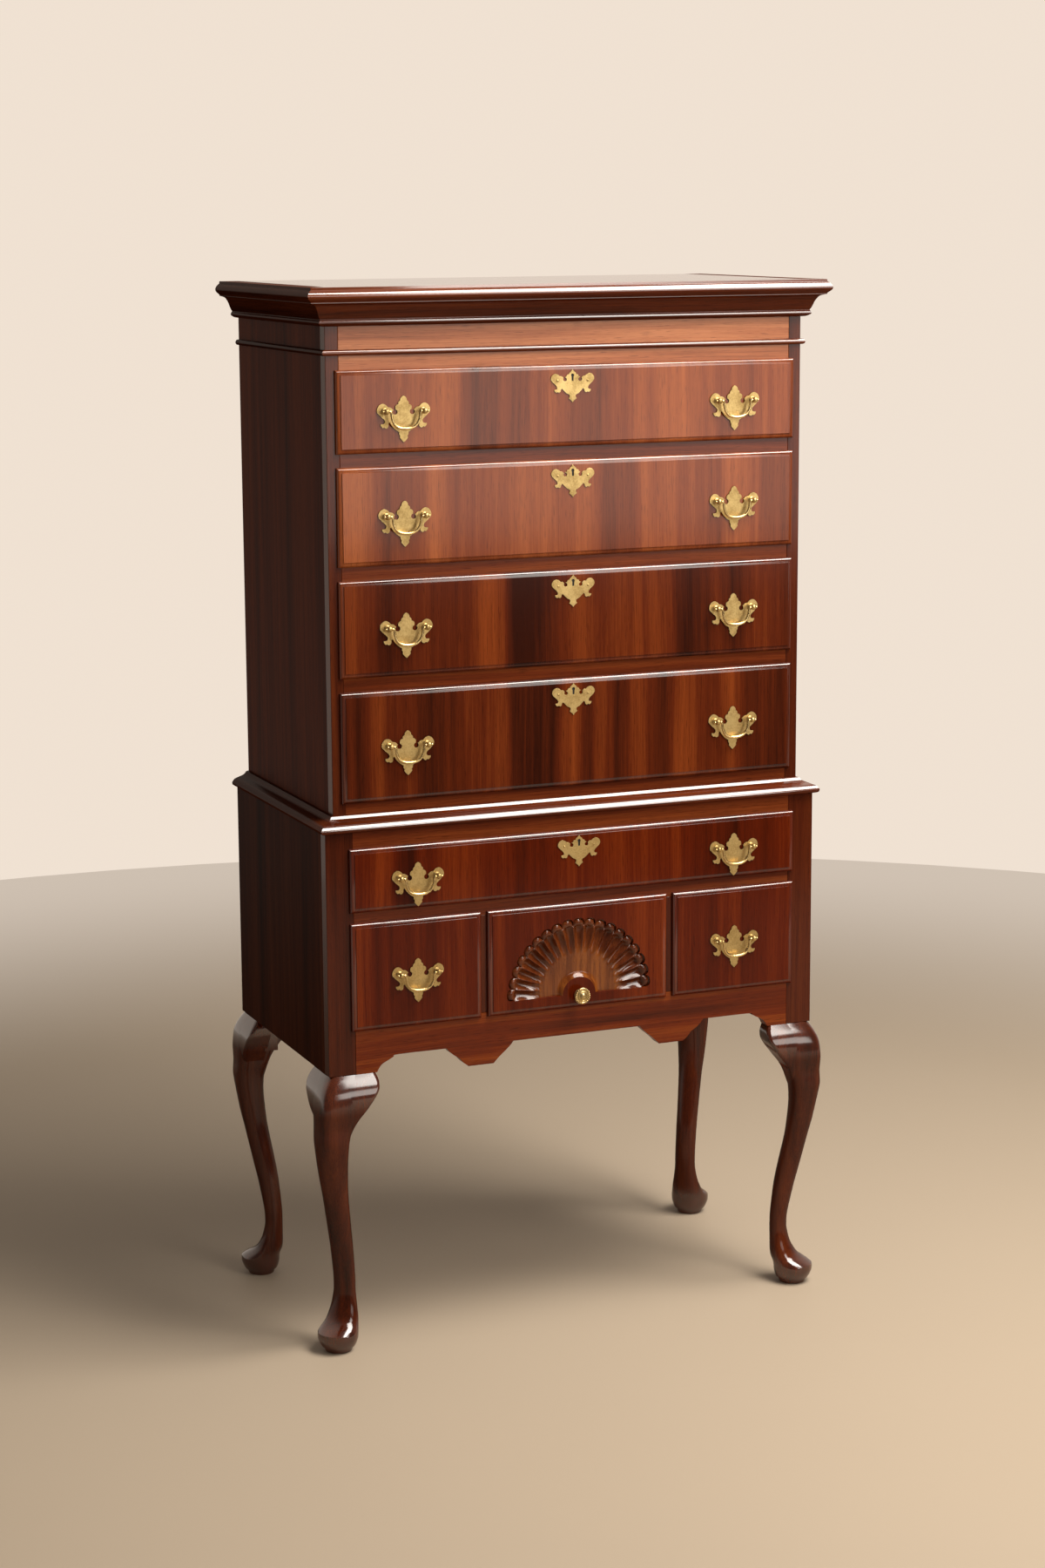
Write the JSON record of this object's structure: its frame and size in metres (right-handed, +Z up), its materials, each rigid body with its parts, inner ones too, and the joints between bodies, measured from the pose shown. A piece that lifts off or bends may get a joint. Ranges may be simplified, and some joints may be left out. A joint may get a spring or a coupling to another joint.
{
  "type": "highboy",
  "caption": "Flat-top chest on a cabriole-leg stand with lipped drawers that slide and brass bails that swing.",
  "frame": {"origin": "on the floor under the middle of the whole piece, bails included", "axes": "+Z up, -Y towards the drawer fronts, +X to the right seen from the front"},
  "size_m": [0.898, 0.5016, 1.7],
  "materials": {
    "case_wood": "satin lacquer over reddish brown mahogany",
    "side_wood": "satin lacquer over dark mahogany",
    "front_wood": "satin lacquer over ribbon-figured mahogany",
    "drawer_wood": "plain planed poplar",
    "brass": "lacquered antique brass"
  },
  "bodies": {
    "case": {"back_left_leg": "case_wood", "back_right_leg": "case_wood", "cornice_moulding": "case_wood", "frieze_bead": "case_wood", "front_apron": "case_wood", "front_left_leg": "case_wood", "front_right_leg": "case_wood", "lower_back": "drawer_wood", "lower_bottom_board": "drawer_wood", "lower_front_frame": "case_wood", "lower_side_left": "side_wood", "lower_side_right": "side_wood", "top_board": "case_wood", "upper_back": "drawer_wood", "upper_bottom_board": "drawer_wood", "upper_front_frame": "case_wood", "upper_side_left": "side_wood", "upper_side_right": "side_wood", "waist_moulding": "case_wood"},
    "drawer_1": {"drawer_1_box": "drawer_wood", "drawer_1_front": "front_wood", "drawer_1_pull_left_plate": "brass", "drawer_1_pull_right_plate": "brass"},
    "drawer_2": {"drawer_2_box": "drawer_wood", "drawer_2_front": "front_wood", "drawer_2_pull_left_plate": "brass", "drawer_2_pull_right_plate": "brass"},
    "drawer_3": {"drawer_3_box": "drawer_wood", "drawer_3_front": "front_wood", "drawer_3_pull_left_plate": "brass", "drawer_3_pull_right_plate": "brass"},
    "drawer_4": {"drawer_4_box": "drawer_wood", "drawer_4_front": "front_wood", "drawer_4_pull_left_plate": "brass", "drawer_4_pull_right_plate": "brass"},
    "drawer_5": {"drawer_5_box": "drawer_wood", "drawer_5_front": "front_wood", "drawer_5_pull_left_plate": "brass", "drawer_5_pull_right_plate": "brass"},
    "drawer_6": {"drawer_6_box": "drawer_wood", "drawer_6_front": "front_wood", "drawer_6_pull_plate": "brass"},
    "drawer_7": {"drawer_7_box": "drawer_wood", "drawer_7_front": "front_wood", "drawer_7_knob": "brass"},
    "drawer_8": {"drawer_8_box": "drawer_wood", "drawer_8_front": "front_wood", "drawer_8_pull_plate": "brass"},
    "drawer_1_pull_left_bail": {"drawer_1_pull_left_bail": "brass"},
    "drawer_1_pull_right_bail": {"drawer_1_pull_right_bail": "brass"},
    "drawer_2_pull_left_bail": {"drawer_2_pull_left_bail": "brass"},
    "drawer_2_pull_right_bail": {"drawer_2_pull_right_bail": "brass"},
    "drawer_3_pull_left_bail": {"drawer_3_pull_left_bail": "brass"},
    "drawer_3_pull_right_bail": {"drawer_3_pull_right_bail": "brass"},
    "drawer_4_pull_left_bail": {"drawer_4_pull_left_bail": "brass"},
    "drawer_4_pull_right_bail": {"drawer_4_pull_right_bail": "brass"},
    "drawer_5_pull_left_bail": {"drawer_5_pull_left_bail": "brass"},
    "drawer_5_pull_right_bail": {"drawer_5_pull_right_bail": "brass"},
    "drawer_6_pull_bail": {"drawer_6_pull_bail": "brass"},
    "drawer_8_pull_bail": {"drawer_8_pull_bail": "brass"}
  },
  "joints": [
    {"name": "drawer_1_slide", "type": "slide", "parent": "case", "child": "drawer_1", "axis": [0, -1, 0], "range_m": [0, 0.3]},
    {"name": "drawer_2_slide", "type": "slide", "parent": "case", "child": "drawer_2", "axis": [0, -1, 0], "range_m": [0, 0.3]},
    {"name": "drawer_3_slide", "type": "slide", "parent": "case", "child": "drawer_3", "axis": [0, -1, 0], "range_m": [0, 0.3]},
    {"name": "drawer_4_slide", "type": "slide", "parent": "case", "child": "drawer_4", "axis": [0, -1, 0], "range_m": [0, 0.3]},
    {"name": "drawer_5_slide", "type": "slide", "parent": "case", "child": "drawer_5", "axis": [0, -1, 0], "range_m": [0, 0.3]},
    {"name": "drawer_6_slide", "type": "slide", "parent": "case", "child": "drawer_6", "axis": [0, -1, 0], "range_m": [0, 0.3]},
    {"name": "drawer_7_slide", "type": "slide", "parent": "case", "child": "drawer_7", "axis": [0, -1, 0], "range_m": [0, 0.3]},
    {"name": "drawer_8_slide", "type": "slide", "parent": "case", "child": "drawer_8", "axis": [0, -1, 0], "range_m": [0, 0.3]},
    {"name": "drawer_1_pull_left_swing", "type": "hinge", "parent": "drawer_1", "child": "drawer_1_pull_left_bail", "pos_m": [-0.2845, -0.22311, 1.50945], "axis": [-1, 0, 0], "range_deg": [-10, 160]},
    {"name": "drawer_1_pull_right_swing", "type": "hinge", "parent": "drawer_1", "child": "drawer_1_pull_right_bail", "pos_m": [0.2845, -0.22311, 1.50945], "axis": [-1, 0, 0], "range_deg": [-10, 160]},
    {"name": "drawer_2_pull_left_swing", "type": "hinge", "parent": "drawer_2", "child": "drawer_2_pull_left_bail", "pos_m": [-0.2845, -0.22311, 1.34755], "axis": [-1, 0, 0], "range_deg": [-10, 160]},
    {"name": "drawer_2_pull_right_swing", "type": "hinge", "parent": "drawer_2", "child": "drawer_2_pull_right_bail", "pos_m": [0.2845, -0.22311, 1.34755], "axis": [-1, 0, 0], "range_deg": [-10, 160]},
    {"name": "drawer_3_pull_left_swing", "type": "hinge", "parent": "drawer_3", "child": "drawer_3_pull_left_bail", "pos_m": [-0.2845, -0.22311, 1.17295], "axis": [-1, 0, 0], "range_deg": [-10, 160]},
    {"name": "drawer_3_pull_right_swing", "type": "hinge", "parent": "drawer_3", "child": "drawer_3_pull_right_bail", "pos_m": [0.2845, -0.22311, 1.17295], "axis": [-1, 0, 0], "range_deg": [-10, 160]},
    {"name": "drawer_4_pull_left_swing", "type": "hinge", "parent": "drawer_4", "child": "drawer_4_pull_left_bail", "pos_m": [-0.2845, -0.22311, 0.98675], "axis": [-1, 0, 0], "range_deg": [-10, 160]},
    {"name": "drawer_4_pull_right_swing", "type": "hinge", "parent": "drawer_4", "child": "drawer_4_pull_right_bail", "pos_m": [0.2845, -0.22311, 0.98675], "axis": [-1, 0, 0], "range_deg": [-10, 160]},
    {"name": "drawer_5_pull_left_swing", "type": "hinge", "parent": "drawer_5", "child": "drawer_5_pull_left_bail", "pos_m": [-0.278, -0.24381, 0.7786], "axis": [-1, 0, 0], "range_deg": [-10, 160]},
    {"name": "drawer_5_pull_right_swing", "type": "hinge", "parent": "drawer_5", "child": "drawer_5_pull_right_bail", "pos_m": [0.278, -0.24381, 0.7786], "axis": [-1, 0, 0], "range_deg": [-10, 160]},
    {"name": "drawer_6_pull_swing", "type": "hinge", "parent": "drawer_6", "child": "drawer_6_pull_bail", "pos_m": [-0.27988, -0.24381, 0.62265], "axis": [-1, 0, 0], "range_deg": [-10, 160]},
    {"name": "drawer_8_pull_swing", "type": "hinge", "parent": "drawer_8", "child": "drawer_8_pull_bail", "pos_m": [0.27988, -0.24381, 0.62265], "axis": [-1, 0, 0], "range_deg": [-10, 160]}
  ]
}
